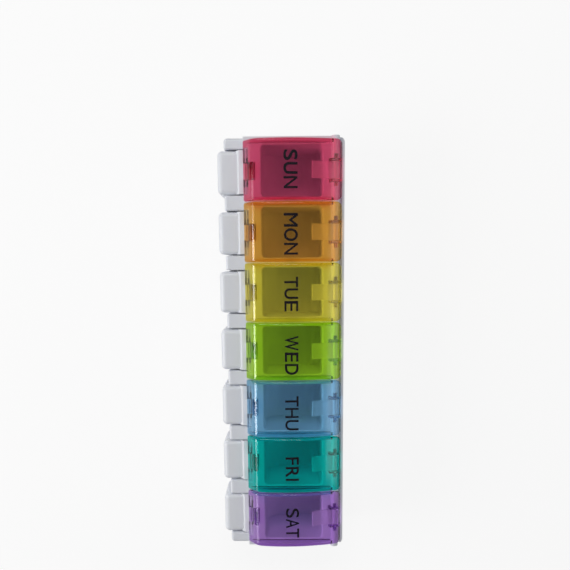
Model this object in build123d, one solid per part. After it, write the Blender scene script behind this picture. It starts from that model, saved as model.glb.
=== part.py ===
from build123d import *
import math
import os

os.makedirs("parts", exist_ok=True)

# A weekly push-button pill box, in mm. X runs from the first day to the last, the buttons face -Y,
# the lids hinge along +Y and +Z is up. The origin is the middle of the face that the box rests on.

days = ["sun", "mon", "tue", "wed", "thu", "fri", "sat"]

# The row of days
pitch = 23.5
end_margin = 1.25
divider_t = 3.8
pillar_w = 5.8
wall_t = 1.5

# Tray, from front to back
tray_front = -22.3
bay_l = 13.3
sill_l = 5.5
tray_back = 25.0
back_wall_t = 0.8
shelf_l = 2.3

# Tray, heights
floor_t = 1.8
low_wall_h = 8.0
rim_z = 24.6
step_h = 2.1
back_wall_drop = 0.4

# Tray, roundings
back_corner_r = 2.5
front_corner_r = 1.4
front_lip_r = 1.2
foot_edge_r = 1.0
pillar_edge = 0.4
scoop_r = 7.0
cell_corner_r = 1.6
rim_bevel = 0.4

# Tray, coring of the underside
channel_side_t = 1.15
channel_roof_t = 2.2

# Lid hinge: a pin through two webs beside the spring, with both its ends snapped into the ears of the tray
hinge_r = 2.6
wrap_t = 0.8
web_t = 0.8
wrap_end = 20.0
wrap_overlap = 20.0
pin_r = 0.9
pin_fit = 0.06
pin_reach = 1.5
pin_tip = 0.1
pin_chamfer = 0.25
ear_flat = 0.1
ear_side_gap = 0.25
snap = 0.2
hinge_gap = 0.2

# Lid shell
lid_gap = 0.5
lid_seat_gap = 0.2
lid_h = 5.2
lid_t = 1.2
crown_y = 2.0
front_slope = 47.0
shoulder_r = 5.0
lid_edge_r = 0.7
lid_corner_r = 2.6

# Latch: the barb of the lid passes just behind the barb of the button
latch_inset = 2.2
latch_gap = 0.25
latch_w = 6.0
barb = 0.8
barb_h = 0.4
finger_t = 1.2
nib_t = 1.2
latch_rise = 0.2
latch_play = 0.1
hook_lead = 0.6
nib_lead = 0.9
nib_taper = 0.2

# Button, a hollow rocker
bay_gap = 0.5
overhang = 2.7
button_t = 1.4
roof_t = 1.3
button_drop = 1.5
button_back_edge = 0.5
ridge_h = 0.3
ridge_l = 3.1
ridge_flank = 0.7
valley = 0.6
pad_sag = 0.2
nose_r = 2.2
button_corner_r = 1.9
pivot_inset = 4.8
pivot_z = 13.5
pivot_r = 1.2
pivot_fit = 0.07
pivot_reach = 1.4
pivot_tip = 0.2
pivot_chamfer = 0.3
boss_t = 1.1
boss_h = 0.8
tail_w = 5.0
tail_t = 0.9
tail_gap = 1.4
tail_root = 0.5
tail_root_depth = 0.3
tail_knee = (1.0, -1.5)
tail_foot = 2.6
ledge_w = 3.25
ledge_t = 1.4
ledge_gap = 0.1
ledge_overlap = 0.7
deck_gap = 1.1
nib_side_gap = 0.5
nib_gap = 0.3

# Lid spring, a moulded leaf clipped on the hinge pin, with its foot in a pocket of the tray
leaf_w = 6.3
leaf_t = 0.8
leaf_over = 4.0
leaf_lift = 1.9
leaf_side_gap = 0.35
clip_open = 60.0
clip_angle = 300.0
leaf_root = 122.0
leaf_bite = 0.1
foot_angle = 232.0
foot_reach = 3.4
foot_play = 0.25
foot_swing = 27.0
foot_side = 11.0

# Cuts run this far past the faces that they open, and an edge this near a level lies on it
past = 3.0
near = 0.1

# Places that follow from the sizes above
day_x = [(i - 3) * pitch for i in range(7)]
junction_x = [(i - 3.5) * pitch for i in range(8)]
tray_half = 3.5 * pitch + end_margin
cell_w = pitch - divider_t
bay_back = tray_front + bay_l
bay_half = (pitch - pillar_w) / 2
sill_y = bay_back - sill_l
pillar_z = rim_z - step_h
low_z = rim_z + lid_seat_gap
crown_z = low_z + lid_h
trough_r = hinge_r + hinge_gap
hinge_y = tray_back - back_wall_t - trough_r
hinge_z = low_z
wrap_r = hinge_r - wrap_t
ear_r = wrap_r - hinge_gap
ear_back = hinge_y - ear_flat
cell_front = bay_back + wall_t
cell_back = hinge_y - trough_r - shelf_l
web_inner = leaf_w / 2 + leaf_side_gap
web_outer = web_inner + web_t
trough_half = web_outer + ear_side_gap
ear_half = pitch / 2 - trough_half
latch_y = sill_y + latch_inset
button_front = tray_front - overhang
button_back = latch_y - latch_gap / 2 - barb
button_half = bay_half - bay_gap
ridge_z = pillar_z + ridge_h
under_z = ridge_z - button_t
latch_z = ridge_z + latch_rise
nib_front = latch_y + latch_gap / 2 + barb
nib_back = nib_front + nib_t
nib_z = latch_z - latch_play - barb_h - nib_lead
pivot_y = tray_front + pivot_inset
ledge_front = button_back - ledge_overlap


def block(x0, x1, y0, y1, z0, z1):
    """A box given by its limits."""
    box = Box(x1 - x0, y1 - y0, z1 - z0)
    return Pos((x0 + x1) / 2, (y0 + y1) / 2, (z0 + z1) / 2) * box


def round_bar(y, z, r, x0, x1):
    """A round bar parallel to X."""
    return Pos((x0 + x1) / 2, y, z) * Rot(0, 90, 0) * Cylinder(r, x1 - x0)


def along_x(section, x0, x1):
    """A section drawn in Y and Z, filled from x0 to x1."""
    return Pos(x0, 0, 0) * extrude(Plane.YZ * section, amount=x1 - x0)


def hinge_point(r, degrees):
    """A point at this radius and angle around the lid hinge."""
    a = math.radians(degrees)
    return (hinge_y + r * math.cos(a), hinge_z + r * math.sin(a))


def hinge_sector(r, start, stop):
    """A slice of a disc around the lid hinge."""
    middle = (start + stop) / 2
    edges = [
        Line((hinge_y, hinge_z), hinge_point(r, start)),
        ThreePointArc(hinge_point(r, start), hinge_point(r, middle), hinge_point(r, stop)),
        Line(hinge_point(r, stop), (hinge_y, hinge_z)),
    ]
    return make_face(Curve() + edges)


# The crown of the lid is one large arc, highest at crown_y and tangent to the hinge barrel
crown_rise = crown_z - hinge_z
crown_run = hinge_y - crown_y
crown_r = (crown_run**2 + crown_rise**2 - hinge_r**2) / (2 * (crown_rise - hinge_r))
tangent_angle = math.degrees(math.atan2(crown_r - crown_rise, crown_run))


def crown_height(y, inset):
    """Height of the crown at y, this far below the outer skin."""
    return crown_z - crown_r + math.sqrt((crown_r - inset) ** 2 - (y - crown_y) ** 2)


def lid_section(inset):
    """The lid seen along X, or its cavity where inset is the wall."""
    slope = math.radians(front_slope)
    foot_y = sill_y + inset / math.sin(slope)
    from_centre = (foot_y - crown_y, low_z - (crown_z - crown_r))
    along = from_centre[0] * math.cos(slope) + from_centre[1] * math.sin(slope)
    beyond = from_centre[0] ** 2 + from_centre[1] ** 2 - (crown_r - inset) ** 2
    reach = math.sqrt(along**2 - beyond) - along
    shoulder = (foot_y + reach * math.cos(slope), low_z + reach * math.sin(slope))
    end = hinge_point(hinge_r - inset, tangent_angle)
    middle_y = (shoulder[0] + end[0]) / 2
    edges = [
        Line((foot_y, low_z), shoulder),
        ThreePointArc(shoulder, (middle_y, crown_height(middle_y, inset)), end),
        Line(end, (hinge_y, hinge_z)),
        Line((hinge_y, hinge_z), (foot_y, low_z)),
    ]
    face = make_face(Curve() + edges)
    corner = face.vertices().sort_by_distance((*shoulder, 0))[0]
    return fillet(corner, shoulder_r - inset)


# Tray, one moulding


def tray_blank():
    """The whole tray before anything is cut out of it."""
    outline = Polygon(
        (tray_front, 0),
        (tray_back, 0),
        (tray_back, rim_z - back_wall_drop),
        (hinge_y, rim_z - back_wall_drop),
        (hinge_y, rim_z),
        (sill_y, rim_z),
        (sill_y, pillar_z),
        (tray_front, pillar_z),
        align=None,
    )
    blank = along_x(outline, -tray_half, tray_half)
    upright = blank.edges().filter_by(Axis.Z).sort_by(Axis.Y)
    blank = fillet(upright[-2:], back_corner_r)
    blank = fillet(blank.edges().filter_by(Axis.Z).sort_by(Axis.Y)[:2], front_corner_r)
    blank = fillet(blank.faces().sort_by(Axis.Z)[0].edges(), foot_edge_r)
    top = blank.edges().filter_by(Axis.X).filter_by_position(Axis.Z, pillar_z - near, pillar_z + near)
    return fillet(top.sort_by(Axis.Y)[0], front_lip_r)


def cell():
    """The hollow of one compartment, scooped at the front and back of its floor."""
    length = cell_back - cell_front
    middle = Pos(0, (cell_front + cell_back) / 2, 0)
    scoop = block(-pitch, pitch, cell_front, cell_back, floor_t, rim_z + past)
    scoop = fillet(scoop.faces().sort_by(Axis.Z)[0].edges().filter_by(Axis.X), scoop_r)
    plan = RectangleRounded(cell_w, length, cell_corner_r)
    mouth = RectangleRounded(cell_w + 2 * rim_bevel, length + 2 * rim_bevel, cell_corner_r + rim_bevel)
    hollow = scoop & middle * extrude(plan, amount=rim_z + past)
    return hollow + middle * extrude(Pos(0, 0, rim_z) * mouth, amount=-rim_bevel, taper=45)


def bay():
    """The hollow that one button rocks in, with its rest ledges and the deck left standing.

    The deck closes the bay behind the button. The nib of the lid hangs in a pocket in its middle.
    """
    hollow = block(-bay_half, bay_half, tray_front - past, bay_back, low_wall_h, rim_z + past)
    hollow += block(-bay_half, bay_half, tray_front + wall_t, bay_back, floor_t, rim_z)
    ledge_z = under_z - ledge_gap
    deck_front = button_back + deck_gap
    pocket_half = latch_w / 2 + nib_side_gap
    pocket_z = nib_z - nib_gap
    hollow -= block(-pitch, pitch, deck_front, bay_back + past, pocket_z - ledge_t, pocket_z)
    hollow -= block(-pitch, pitch, nib_back + nib_gap, bay_back + past, pocket_z - ledge_t, rim_z + 2 * past)
    for side in (-1, 1):
        x = sorted((side * (bay_half - ledge_w), side * (bay_half + past)))
        hollow -= block(*x, ledge_front, bay_back + past, ledge_z - ledge_t, ledge_z)
        x = sorted((side * pocket_half, side * (bay_half + past)))
        hollow -= block(*x, deck_front, bay_back + past, ledge_z - ledge_t, rim_z + 2 * past)
    return hollow


def channel():
    """The coring under the hinge, open at the bottom."""
    half = pitch / 2 - channel_side_t
    roof = hinge_z - trough_r - channel_roof_t
    return block(-half, half, cell_back + wall_t, tray_back - wall_t, -past, roof)


def day_hollows():
    """Everything that is cut out of the tray for one day."""
    pivot_half = bay_half + pivot_reach + pivot_tip
    pocket_half = leaf_w / 2 + foot_play
    pocket = hinge_sector(foot_reach + foot_play, foot_angle - foot_swing, foot_angle + foot_side)
    hollow = cell() + bay() + channel()
    hollow += round_bar(pivot_y, pivot_z, pivot_r + pivot_fit, -pivot_half, pivot_half)
    hollow += round_bar(hinge_y, hinge_z, trough_r, -trough_half, trough_half)
    return hollow + along_x(pocket, -pocket_half, pocket_half)


def pin_sockets():
    """The sockets for the ends of one lid's pin, with their snap-in slots from above."""
    half = trough_half + pin_reach + pin_tip
    slot_half = pin_r - snap / 2
    socket = round_bar(hinge_y, hinge_z, pin_r + pin_fit, -half, half)
    return socket + block(-half, half, hinge_y - slot_half, hinge_y + slot_half, hinge_z, crown_z)


def make_tray():
    """The tray with its compartments, bays, hinge ears and cored underside."""
    hollow = day_hollows()
    tray = tray_blank() - [Pos(x, 0, 0) * hollow for x in day_x]
    swing = round_bar(hinge_y, hinge_z, trough_r, -2 * tray_half, 2 * tray_half)
    tray -= swing & block(-2 * tray_half, 2 * tray_half, ear_back, tray_back, 0, crown_z)
    edges = tray.edges().filter_by(Axis.Y).filter_by_position(Axis.Z, pillar_z - near, pillar_z + near)
    tray = chamfer(edges.filter_by_position(Axis.Y, tray_front, sill_y), pillar_edge)
    for x in junction_x:
        ends = (max(x - ear_half, -tray_half), min(x + ear_half, tray_half))
        tray += round_bar(hinge_y, hinge_z, ear_r, *ends)
    sockets = pin_sockets()
    return tray - [Pos(x, 0, 0) * sockets for x in day_x]


# Button, one moulding with its pins, spring tail and hook


def button_section():
    """The button seen along X."""
    nose = (button_front + nose_r, pillar_z)
    low_nose = (button_front, pillar_z - nose_r)
    cut = nose_r * (1 - math.sin(math.radians(45)))
    ridge_y = button_back - ridge_l
    valley_y = ridge_y - ridge_flank
    pad_y = (nose[0] + valley_y) / 2
    side_back = ledge_front - bay_gap
    side_z = low_wall_h + button_drop
    inner_front = button_front + button_t
    edges = [
        Polyline(
            (inner_front, side_z),
            (inner_front, low_wall_h - button_drop),
            (button_front, low_wall_h - button_drop),
            low_nose,
        ),
        ThreePointArc(low_nose, (button_front + cut, pillar_z - cut), nose),
        ThreePointArc(nose, (pad_y, pillar_z - pad_sag), (valley_y, pillar_z - valley)),
        Polyline(
            (valley_y, pillar_z - valley),
            (ridge_y, ridge_z),
            (button_back - button_back_edge, ridge_z),
            (button_back, ridge_z - button_back_edge),
            (button_back, under_z),
            (side_back, under_z),
            (side_back, side_z),
            (inner_front, side_z),
        ),
    ]
    return make_face(Curve() + edges)


def spring_tail(root_z):
    """The thin tail that bears on the bay's back wall."""
    root_y = pivot_y + tail_root
    knee = (pivot_y + tail_knee[0], pivot_z + tail_knee[1])
    tip = (bay_back - tail_gap, floor_t + tail_foot)
    section = Polygon(
        (root_y, root_z),
        knee,
        (tip[0] - tail_t, tip[1]),
        (tip[0], tip[1] + tail_t / 2),
        (knee[0] + tail_t, knee[1] + tail_t / 2),
        (root_y + tail_t, root_z),
        align=None,
    )
    return along_x(section, -tail_w / 2, tail_w / 2)


def hook():
    """The upright finger with the barb that holds the lid down."""
    tip_y = latch_y - latch_gap / 2
    finger_y = button_back - finger_t
    barb_z = latch_z + latch_play
    section = Polygon(
        (finger_y, under_z),
        (button_back, under_z),
        (button_back, barb_z),
        (tip_y, barb_z),
        (tip_y, barb_z + barb_h),
        (tip_y - barb, barb_z + barb_h + hook_lead),
        (finger_y, barb_z + barb_h + hook_lead),
        align=None,
    )
    return along_x(section, -latch_w / 2, latch_w / 2)


def make_button():
    """One rocking button in its rest place in the middle bay."""
    shell = along_x(button_section(), -button_half, button_half)
    upright = shell.edges().filter_by(Axis.Z).sort_by(Axis.Y)
    shell = fillet(upright[:2], button_corner_r)
    inner = button_half - button_t
    roof = pillar_z - valley - roof_t
    shell -= block(-inner, inner, button_front + button_t, button_back, 0, roof)
    pin_end = bay_half + pivot_reach
    for side in (-1, 1):
        pin = round_bar(pivot_y, pivot_z, pivot_r, *sorted((side * inner, side * pin_end)))
        tip = pin.faces().sort_by(Axis.X)[0 if side < 0 else -1]
        boss = round_bar(pivot_y, pivot_z, pivot_r + boss_t, *sorted((side * inner, side * (inner - boss_h))))
        shell += chamfer(tip.edges(), pivot_chamfer)
        shell += boss
    return shell + spring_tail(roof + tail_root_depth) + hook()


# Lid, one translucent moulding with its pins and nib


def nib():
    """The nib behind the lid's front edge, with the barb that the button catches."""
    tip_y = nib_front - barb
    barb_z = latch_z - latch_play
    section = Polygon(
        (nib_front, crown_height(nib_front, lid_t)),
        (nib_front, barb_z),
        (tip_y, barb_z),
        (tip_y, barb_z - barb_h),
        (nib_front + nib_taper, nib_z),
        (nib_back, nib_z),
        (nib_back, crown_height(nib_back, lid_t / 2)),
        align=None,
    )
    return along_x(section, -latch_w / 2, latch_w / 2)


def make_lid():
    """One hinged lid, closed, over the middle compartment."""
    half = (pitch - lid_gap) / 2
    wrap = hinge_sector(hinge_r, wrap_end, tangent_angle + wrap_overlap)
    shell = along_x(lid_section(0) + wrap, -half, half)
    rims = []
    for end in (shell.faces().sort_by(Axis.X)[0], shell.faces().sort_by(Axis.X)[-1]):
        for edge in end.edges():
            middle = edge @ 0.5
            off_axis = math.hypot(middle.Y - hinge_y, middle.Z - hinge_z)
            if middle.Z > low_z + near and off_axis > wrap_r + near:
                rims.append(edge)
    shell = fillet(rims, lid_edge_r)
    shell -= along_x(lid_section(lid_t), lid_t - half, half - lid_t)
    shell -= round_bar(hinge_y, hinge_z, wrap_r, -half - past, half + past)
    for side in (-1, 1):
        shell += round_bar(hinge_y, hinge_z, hinge_r, *sorted((side * web_inner, side * web_outer)))
    depth = 2 * (hinge_y - sill_y)
    plan = Pos(0, hinge_y + hinge_r - depth / 2) * RectangleRounded(2 * half, depth, lid_corner_r)
    shell &= extrude(plan, amount=2 * crown_z)
    pin = round_bar(hinge_y, hinge_z, pin_r, -trough_half - pin_reach, trough_half + pin_reach)
    return shell + chamfer(pin.edges(), pin_chamfer) + nib()


# Spring under the lid


def make_spring():
    """The leaf that lifts one lid, clipped round the lid's pin."""
    clip = Pos(hinge_y, hinge_z) * (Circle(ear_r) - Circle(pin_r + pin_fit))
    clip -= hinge_sector(2 * ear_r, clip_angle - clip_open / 2, clip_angle + clip_open / 2)
    root = hinge_point(ear_r - leaf_bite, leaf_root)
    tip_y = cell_back - leaf_over
    tip = (tip_y, crown_height(tip_y, lid_t) - hinge_gap)
    bend = ((root[0] + tip[0]) / 2, rim_z + leaf_lift)
    under = [(y, z - leaf_t) for y, z in (root, bend, tip)]
    edges = [
        ThreePointArc(root, bend, tip),
        Line(tip, under[2]),
        ThreePointArc(under[2], under[1], under[0]),
        Line(under[0], root),
    ]
    blade = make_face(Curve() + edges) + Pos(tip[0], tip[1] - leaf_t / 2) * Circle(leaf_t / 2)
    foot_start = (ear_r + pin_r) / 2
    foot = Pos((foot_start + foot_reach) / 2, 0) * Rectangle(foot_reach - foot_start, leaf_t)
    section = clip + blade + Pos(hinge_y, hinge_z) * Rot(0, 0, foot_angle) * foot
    return along_x(section, -leaf_w / 2, leaf_w / 2)


export_step(make_tray(), "parts/base_tray.step")
lid = make_lid()
button = make_button()
spring = make_spring()
for day, x in zip(days, day_x):
    export_step(Pos(x, 0, 0) * lid, "parts/lid_" + day + ".step")
    export_step(Pos(x, 0, 0) * button, "parts/button_" + day + ".step")
    export_step(Pos(x, 0, 0) * spring, "parts/spring_" + day + ".step")
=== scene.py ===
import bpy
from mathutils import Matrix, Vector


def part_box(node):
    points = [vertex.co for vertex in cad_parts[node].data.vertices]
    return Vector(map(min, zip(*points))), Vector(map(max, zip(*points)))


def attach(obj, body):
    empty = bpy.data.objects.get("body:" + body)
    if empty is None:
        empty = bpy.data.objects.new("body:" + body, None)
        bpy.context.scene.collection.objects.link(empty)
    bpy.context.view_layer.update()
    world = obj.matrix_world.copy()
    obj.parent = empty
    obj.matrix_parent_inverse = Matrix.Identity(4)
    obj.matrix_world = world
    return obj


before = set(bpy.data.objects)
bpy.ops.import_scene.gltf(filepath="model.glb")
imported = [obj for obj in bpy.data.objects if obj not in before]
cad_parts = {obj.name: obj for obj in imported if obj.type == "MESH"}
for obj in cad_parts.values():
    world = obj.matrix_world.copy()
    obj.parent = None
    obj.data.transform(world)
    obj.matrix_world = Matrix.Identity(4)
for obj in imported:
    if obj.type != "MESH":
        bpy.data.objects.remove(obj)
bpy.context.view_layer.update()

import math

import bpy

# The tray: one white polypropylene moulding with the seven wells, the button bays and the hinge ears.
# It comes out of the tool with a satin skin, faintly uneven over the thick walls, and lets a little light in.

tray_white = (0.84, 0.86, 0.905, 1)
tray_shade = (0.80, 0.82, 0.875, 1)
tray_roughness = (0.34, 0.46)
tray_grain = 2600.0
tray_grain_depth = 0.000012
sink_marks = 130.0
sink_to_grain = 2.5
flow_stretch = (3.0, 0.35, 1.0)
mean_of_two = 0.5
mean_of_three = 0.34
middle_tones = (0.3, 0.7)
white_ior = 1.49
light_let_in = 0.25
light_reach = 0.0012
light_spread = (1.0, 1.0, 1.1)


def add(tree, kind, inputs=None, **settings):
    """Adds a node, sets its options, and fills or links its sockets by name or number."""
    made = tree.nodes.new(kind)
    for name, value in settings.items():
        setattr(made, name, value)
    for name, value in (inputs or {}).items():
        if isinstance(value, bpy.types.NodeSocket):
            tree.links.new(value, made.inputs[name])
        else:
            made.inputs[name].default_value = value
    return made


def new_material(name):
    """An empty material and its node tree."""
    material = bpy.data.materials.new(name)
    material.use_nodes = True
    material.node_tree.nodes.clear()
    return material, material.node_tree


def make_moulded_skin():
    """The shared look of a moulded face: fine tool grain over slow sink marks, as Tone, Gloss and Height."""
    group = bpy.data.node_groups.new("moulded_skin", "ShaderNodeTree")
    for name, value in (("Grain", tray_grain), ("Sink", sink_marks)):
        group.interface.new_socket(name, in_out="INPUT", socket_type="NodeSocketFloat").default_value = value
    for name in ("Tone", "Gloss", "Height"):
        group.interface.new_socket(name, in_out="OUTPUT", socket_type="NodeSocketFloat")
    given = add(group, "NodeGroupInput")
    place = add(group, "ShaderNodeTexCoord").outputs["Object"]
    grain = add(group, "ShaderNodeTexNoise", {
        "Vector": place, "Scale": given.outputs["Grain"], "Detail": 3.0}).outputs["Fac"]
    sink = add(group, "ShaderNodeTexNoise", {
        "Vector": place, "Scale": given.outputs["Sink"], "Detail": 1.5}).outputs["Fac"]
    drawn = add(group, "ShaderNodeVectorMath", {0: place, 1: flow_stretch}, operation="MULTIPLY")
    flow = add(group, "ShaderNodeTexNoise", {
        "Vector": drawn.outputs[0], "Scale": given.outputs["Sink"], "Detail": 4.0}).outputs["Fac"]
    slow = add(group, "ShaderNodeMath", {0: sink, 1: flow}, operation="ADD")
    all_three = add(group, "ShaderNodeMath", {0: slow.outputs[0], 1: grain}, operation="ADD")
    tone = add(group, "ShaderNodeMath", {0: slow.outputs[0], 1: mean_of_two},
               operation="MULTIPLY", use_clamp=True)
    gloss = add(group, "ShaderNodeMath", {0: all_three.outputs[0], 1: mean_of_three},
                operation="MULTIPLY", use_clamp=True)
    height = add(group, "ShaderNodeMath", {0: sink, 1: sink_to_grain, 2: grain}, operation="MULTIPLY_ADD")
    add(group, "NodeGroupOutput", {
        "Tone": tone.outputs[0], "Gloss": gloss.outputs[0], "Height": height.outputs[0]})
    return group


moulded_skin = make_moulded_skin()


def moulded(tree, light, dark, roughness, depth, grain, sink=sink_marks):
    """The base colour, roughness and normal of a moulded face, as the inputs of a Principled BSDF."""
    skin = add(tree, "ShaderNodeGroup", {"Grain": grain, "Sink": sink}, node_tree=moulded_skin)
    colour = add(tree, "ShaderNodeMix", {"Factor": skin.outputs["Tone"], 6: light, 7: dark}, data_type="RGBA")
    shine = add(tree, "ShaderNodeMapRange", {
        "Value": skin.outputs["Gloss"], "From Min": middle_tones[0], "From Max": middle_tones[1],
        "To Min": roughness[0], "To Max": roughness[1]})
    relief = add(tree, "ShaderNodeBump", {
        "Height": skin.outputs["Height"], "Distance": depth, "Strength": 1.0})
    return {"Base Color": colour.outputs[2], "Roughness": shine.outputs[0], "Normal": relief.outputs[0]}


def white_plastic(name, light, dark, roughness, depth, grain):
    """A white moulded plastic that lets a little light in, with this grain and unevenness."""
    material, tree = new_material(name)
    plastic = add(tree, "ShaderNodeBsdfPrincipled", {
        **moulded(tree, light, dark, roughness, depth, grain),
        "IOR": white_ior, "Subsurface Weight": light_let_in,
        "Subsurface Radius": light_spread, "Subsurface Scale": light_reach})
    add(tree, "ShaderNodeOutputMaterial", {"Surface": plastic.outputs[0]})
    return material


def paint(node, material):
    """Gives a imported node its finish."""
    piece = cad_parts[node]
    piece.data.materials.clear()
    piece.data.materials.append(material)


paint("base_tray", white_plastic(
    "white_tray", tray_white, tray_shade, tray_roughness, tray_grain_depth, tray_grain))

# The buttons: seven white rockers moulded in the same polypropylene, each with its pins, hook and spring
# tail in one piece. The tool polishes their finger pads a little, so they shine more than the tray.

days = ["sun", "mon", "tue", "wed", "thu", "fri", "sat"]
button_white = (0.88, 0.90, 0.95, 1)
button_shade = (0.85, 0.87, 0.925, 1)
button_roughness = (0.32, 0.42)
button_grain = 3200.0
button_grain_depth = 0.000008

button_plastic = white_plastic(
    "white_button", button_white, button_shade, button_roughness, button_grain_depth, button_grain)
for day in days:
    paint("button_" + day, button_plastic)

# The lid springs: seven small leaves of natural acetal, clipped round the pins under the lids. Acetal has a
# waxy, milky skin. A leaf as thin as this shows much of what lies under it and stops little of the light.

leaf_milk = (0.95, 0.95, 0.96, 1)
leaf_flow = (0.90, 0.90, 0.92, 1)
leaf_clearness = 0.70
leaf_shadow = (0.95, 0.95, 0.96, 1)
lit_through_leaf = 0.92
leaf_roughness = (0.30, 0.45)
leaf_grain = 1800.0
leaf_grain_depth = 0.000005
leaf_ior = 1.48


def milky_plastic(name):
    """Natural acetal: frosted glass with some milk in it, which throws only a faint shadow."""
    material, tree = new_material(name)
    plastic = add(tree, "ShaderNodeBsdfPrincipled", {
        **moulded(tree, leaf_milk, leaf_flow, leaf_roughness, leaf_grain_depth, leaf_grain),
        "IOR": leaf_ior, "Transmission Weight": leaf_clearness})
    straight = add(tree, "ShaderNodeBsdfTransparent", {"Color": leaf_shadow})
    ray = add(tree, "ShaderNodeLightPath")
    passed = add(tree, "ShaderNodeMath", {0: ray.outputs["Is Shadow Ray"], 1: lit_through_leaf},
                 operation="MULTIPLY")
    surface = add(tree, "ShaderNodeMixShader", {
        0: passed.outputs[0], 1: plastic.outputs[0], 2: straight.outputs[0]})
    add(tree, "ShaderNodeOutputMaterial", {"Surface": surface.outputs[0]})
    return material


spring_plastic = milky_plastic("white_spring")
for day in days:
    paint("spring_" + day, spring_plastic)

# The lids: seven clear tinted styrenic mouldings, each with its hinge pin, webs and latch nib in one piece.
# The dye is in the plastic, so its colour deepens along the side walls, where light has further to go.
# Most of the tint is laid at the skin here and the rest in the wall, so that the thick nibs don't go dark.

lid_wall = 1.2
lid_roughness = (0.06, 0.14)
lid_grain = 1500.0
lid_grain_depth = 0.000004
lid_sink_marks = 90.0
lid_ior = 1.5
tint_at_skin = 0.88
deepest_tone = 0.97
full_colour_margin = 1.02
passed_by_wall = {
    "sun": (0.945, 0.33, 0.475),
    "mon": (0.955, 0.665, 0.25),
    "tue": (0.935, 0.865, 0.27),
    "wed": (0.675, 0.90, 0.18),
    "thu": (0.48, 0.735, 0.90),
    "fri": (0.03, 0.79, 0.73),
    "sat": (0.735, 0.53, 0.875),
}


def tinted_plastic(name, passed):
    """Clear plastic whose wall of lid_wall millimetres passes this share of red, green and blue light.

    Lamps and soft light go straight through it. They cross two skins, so each skin takes the square root.
    """
    material, tree = new_material(name)
    at_skin = [share ** tint_at_skin for share in passed]
    lightest = at_skin + [1]
    deepest = [deepest_tone * share for share in at_skin] + [1]
    one_skin = [math.sqrt(share) for share in at_skin] + [1]
    glass = add(tree, "ShaderNodeBsdfPrincipled", {
        **moulded(tree, lightest, deepest, lid_roughness, lid_grain_depth, lid_grain, lid_sink_marks),
        "IOR": lid_ior, "Transmission Weight": 1.0})
    straight = add(tree, "ShaderNodeBsdfTransparent", {"Color": one_skin})
    ray = add(tree, "ShaderNodeLightPath")
    soft_light = add(tree, "ShaderNodeMath", {
        0: ray.outputs["Is Shadow Ray"], 1: ray.outputs["Is Diffuse Ray"]}, operation="MAXIMUM")
    surface = add(tree, "ShaderNodeMixShader", {
        0: soft_light.outputs[0], 1: glass.outputs[0], 2: straight.outputs[0]})
    taken = [-(1 - tint_at_skin) * math.log(share) / lid_wall * 1000 for share in passed]
    density = full_colour_margin * max(taken)
    dye = add(tree, "ShaderNodeVolumeAbsorption", {
        "Color": [1 - part / density for part in taken] + [1], "Density": density})
    add(tree, "ShaderNodeOutputMaterial", {"Surface": surface.outputs[0], "Volume": dye.outputs[0]})
    return material


for day in days:
    paint("lid_" + day, tinted_plastic("lid_" + day, passed_by_wall[day]))

# The day names: plain capitals pad printed in black on the crown of each lid, read from the button side.
# The ink is a thin film that follows the curve of the lid, and is a little uneven in density and shine.
# Each letter's two edges, its height and the swell of its strokes are in millimetres.

letter_spans = {
    "sun": ((-7.0, -3.1), (-2.4, 2.0), (2.8, 7.3)),
    "mon": ((-7.0, -1.8), (-1.2, 3.6), (4.3, 8.8)),
    "tue": ((-6.2, -2.1), (-1.7, 2.4), (3.2, 7.3)),
    "wed": ((-6.5, -0.6), (0.1, 3.9), (4.7, 9.1)),
    "thu": ((-5.7, -1.4), (-0.9, 3.3), (4.1, 8.4)),
    "fri": ((-3.8, -0.6), (0.3, 4.6), (5.3, 6.2)),
    "sat": ((-5.4, -1.4), (-0.9, 3.1), (3.3, 7.3)),
}
letter_height = 5.4
letter_y = 0.0039
ink_swell = {"sun": 0.15, "mon": 0.135, "tue": 0.09, "wed": 0.13, "thu": 0.09, "fri": 0.11, "sat": 0.08}
ink_film = 0.00002
ink_dense = (0.005, 0.004, 0.008, 1)
ink_starved = (0.020, 0.016, 0.024, 1)
ink_roughness = (0.18, 0.34)
ink_specks = 1400.0
curve_parts = 6
curve_step = 0.0005
plate = 0.002
upright_below = 0.5


def printing_ink():
    """Black pad printing ink, with fine specks where it is starved."""
    material, tree = new_material("black_ink")
    place = add(tree, "ShaderNodeTexCoord").outputs["Object"]
    speck = add(tree, "ShaderNodeTexNoise", {
        "Vector": place, "Scale": ink_specks, "Detail": 4.0}).outputs["Fac"]
    colour = add(tree, "ShaderNodeMix", {"Factor": speck, 6: ink_dense, 7: ink_starved}, data_type="RGBA")
    shine = add(tree, "ShaderNodeMapRange", {
        "Value": speck, "To Min": ink_roughness[0], "To Max": ink_roughness[1]})
    ink = add(tree, "ShaderNodeBsdfPrincipled", {
        "Base Color": colour.outputs[2], "Roughness": shine.outputs[0]})
    add(tree, "ShaderNodeOutputMaterial", {"Surface": ink.outputs[0]})
    return material


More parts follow.
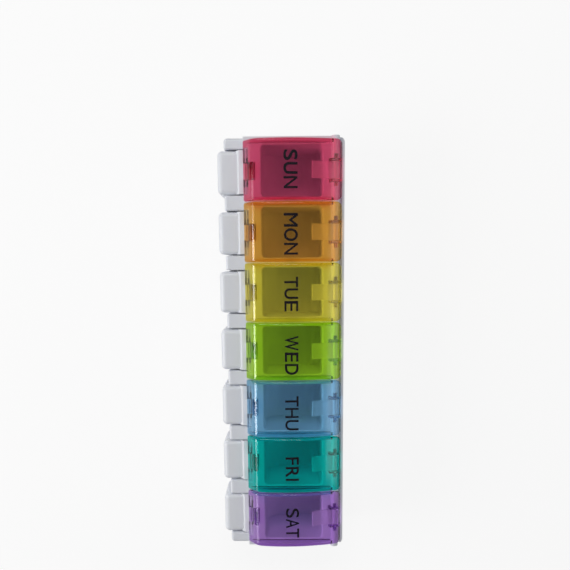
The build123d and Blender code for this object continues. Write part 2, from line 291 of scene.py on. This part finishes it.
black_ink = printing_ink()
for day in days:
    low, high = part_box("lid_" + day)
    middle = (low.x + high.x) / 2
    swell = ink_swell[day] / 1000
    letters = []
    for letter, (start, end) in zip(day.upper(), letter_spans[day]):
        bpy.ops.object.select_all(action="DESELECT")
        bpy.ops.object.text_add(location=(0, 0, 0))
        bpy.context.object.data.body = letter
        bpy.context.object.data.resolution_u = curve_parts
        bpy.ops.object.convert(target="MESH")
        shape = bpy.context.object
        bpy.ops.object.origin_set(type="ORIGIN_GEOMETRY", center="BOUNDS")
        shape.scale = (((end - start) / 1000 - 2 * swell) / shape.dimensions.x,
                       (letter_height / 1000 - 2 * swell) / shape.dimensions.y, 1)
        shape.location = (middle + (start + end) / 2000, letter_y, high.z + plate)
        bpy.ops.object.transform_apply(location=True, rotation=True, scale=True)
        letters.append(shape)
    for shape in letters:
        shape.select_set(True)
    bpy.ops.object.join()
    word = bpy.context.object
    word.name = "label_" + day

    # The strokes are swelled as a thick plate, of which the upper skin alone is kept and laid flat.
    bpy.ops.object.mode_set(mode="EDIT")
    bpy.ops.mesh.select_mode(type="FACE")
    bpy.ops.mesh.select_all(action="SELECT")
    bpy.ops.mesh.extrude_region_move(TRANSFORM_OT_translate={"value": (0, 0, plate)})
    bpy.ops.mesh.select_all(action="SELECT")
    bpy.ops.mesh.normals_make_consistent(inside=False)
    bpy.ops.transform.shrink_fatten(value=swell * math.sqrt(2))
    bpy.ops.mesh.bisect(plane_co=(0, 0, high.z + 1.5 * plate), plane_no=(0, 0, 1), clear_inner=True)
    bpy.ops.object.mode_set(mode="OBJECT")
    for face in word.data.polygons:
        face.select = face.normal.z < upright_below
    bpy.ops.object.mode_set(mode="EDIT")
    bpy.ops.mesh.delete(type="FACE")
    bpy.ops.mesh.select_all(action="SELECT")
    bpy.ops.transform.resize(value=(1, 1, 0))

    # It is cut into narrow bands, so that it can follow the curve of the crown when it is dropped onto it.
    y = letter_y - letter_height / 2000 + curve_step / 2
    while y < letter_y + letter_height / 2000:
        bpy.ops.mesh.select_all(action="SELECT")
        bpy.ops.mesh.bisect(plane_co=(0, y, 0), plane_no=(0, 1, 0))
        y += curve_step
    bpy.ops.object.mode_set(mode="OBJECT")
    wrap = word.modifiers.new("wrap", "SHRINKWRAP")
    wrap.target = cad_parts["lid_" + day]
    wrap.wrap_method = "PROJECT"
    wrap.use_project_z = True
    wrap.use_negative_direction = True
    wrap.use_positive_direction = False
    wrap.offset = ink_film
    bpy.ops.object.modifier_apply(modifier="wrap")
    film = word.modifiers.new("film", "SOLIDIFY")
    film.thickness = ink_film
    bpy.ops.object.modifier_apply(modifier="film")
    word.data.materials.clear()
    word.data.materials.append(black_ink)
    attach(word, "lid_" + day)

# The studio: a white floor, a dim soft room and four soft boxes. Two are low over the buttons, one behind the
# other, and draw the bright line along the lids' shoulders, strongest in the middle of the row. The camera is
# above the box, as far over the first day as the photograph's perspective asks.

room_light = 0.168
room_mirrored = 0.042
room_seen = 1.0
floor_side = 6
floor_colour = (0.86, 0.86, 0.86, 1)
floor_fleck = (0.82, 0.82, 0.82, 1)
floor_fibre = 260.0
floor_roughness = 0.75
floor_glow = 0.8
glow_strength = 1.05
camera_place = (-0.0336, 0.0029, 0.2452)
camera_turn = (-7.593, 0.363, 89.574)
lens_pixels = 550
photo_pixels = 570
centre_row = 340
sensor_mm = 36
near_clip = 0.01

bpy.ops.object.select_all(action="DESELECT")
bpy.ops.mesh.primitive_plane_add(size=floor_side, location=(0, 0, 0))
floor = bpy.context.object
floor.name = "floor"
floor_paper, tree = new_material("floor_paper")
place = add(tree, "ShaderNodeTexCoord").outputs["Object"]
fibre = add(tree, "ShaderNodeTexNoise", {"Vector": place, "Scale": floor_fibre, "Detail": 4.0})
paper_tone = add(tree, "ShaderNodeMix", {
    "Factor": fibre.outputs["Fac"], 6: floor_colour, 7: floor_fleck}, data_type="RGBA")
paper = add(tree, "ShaderNodeBsdfPrincipled", {
    "Base Color": paper_tone.outputs[2], "Roughness": floor_roughness})
glow = add(tree, "ShaderNodeEmission", {"Color": (1, 1, 1, 1), "Strength": glow_strength})
ray = add(tree, "ShaderNodeLightPath")
seen = add(tree, "ShaderNodeMath", {0: ray.outputs["Is Camera Ray"], 1: floor_glow}, operation="MULTIPLY")
lit_paper = add(tree, "ShaderNodeMixShader", {0: seen.outputs[0], 1: paper.outputs[0], 2: glow.outputs[0]})
add(tree, "ShaderNodeOutputMaterial", {"Surface": lit_paper.outputs[0]})
floor.data.materials.append(floor_paper)

world = bpy.data.worlds.new("soft_room")
world.use_nodes = True
world.node_tree.nodes.clear()
tree = world.node_tree
ray = add(tree, "ShaderNodeLightPath")
room = add(tree, "ShaderNodeMapRange", {
    "Value": ray.outputs["Is Glossy Ray"], "To Min": room_light, "To Max": room_mirrored})
strength = add(tree, "ShaderNodeMapRange", {
    "Value": ray.outputs["Is Camera Ray"], "To Min": room.outputs[0], "To Max": room_seen})
air = add(tree, "ShaderNodeBackground", {"Color": (1, 1, 1, 1), "Strength": strength.outputs[0]})
add(tree, "ShaderNodeOutputWorld", {"Surface": air.outputs[0]})
bpy.context.scene.world = world


def soft_box(name, place, height, length, watts):
    """A soft box turned to the middle of the object, with its length level and its height upright."""
    bpy.ops.object.light_add(type="AREA", location=place)
    lamp = bpy.context.object
    lamp.name = name
    lamp.data.shape = "RECTANGLE"
    lamp.data.size = height
    lamp.data.size_y = length
    lamp.data.energy = watts
    lamp.rotation_euler = (-lamp.location).to_track_quat("-Z", "X").to_euler()
    lamp.visible_camera = False


soft_box("key_box", (0.09, -0.74, 0.32), height=0.25, length=0.40, watts=2.0)
soft_box("long_key_box", (0.15, -0.80, 0.35), height=0.25, length=0.75, watts=1.65)
soft_box("hinge_side_box", (0.05, 0.50, 0.58), height=0.30, length=0.60, watts=0.8)
soft_box("first_day_box", (-0.48, -0.03, 0.52), height=0.25, length=0.45, watts=1.4)

bpy.ops.object.camera_add(location=camera_place, rotation=[math.radians(angle) for angle in camera_turn])
camera = bpy.context.object
camera.data.sensor_width = sensor_mm
camera.data.lens = sensor_mm * lens_pixels / photo_pixels
camera.data.shift_y = (centre_row - photo_pixels / 2) / photo_pixels
camera.data.clip_start = near_clip
bpy.context.scene.camera = camera
bpy.context.scene.view_settings.view_transform = "Standard"
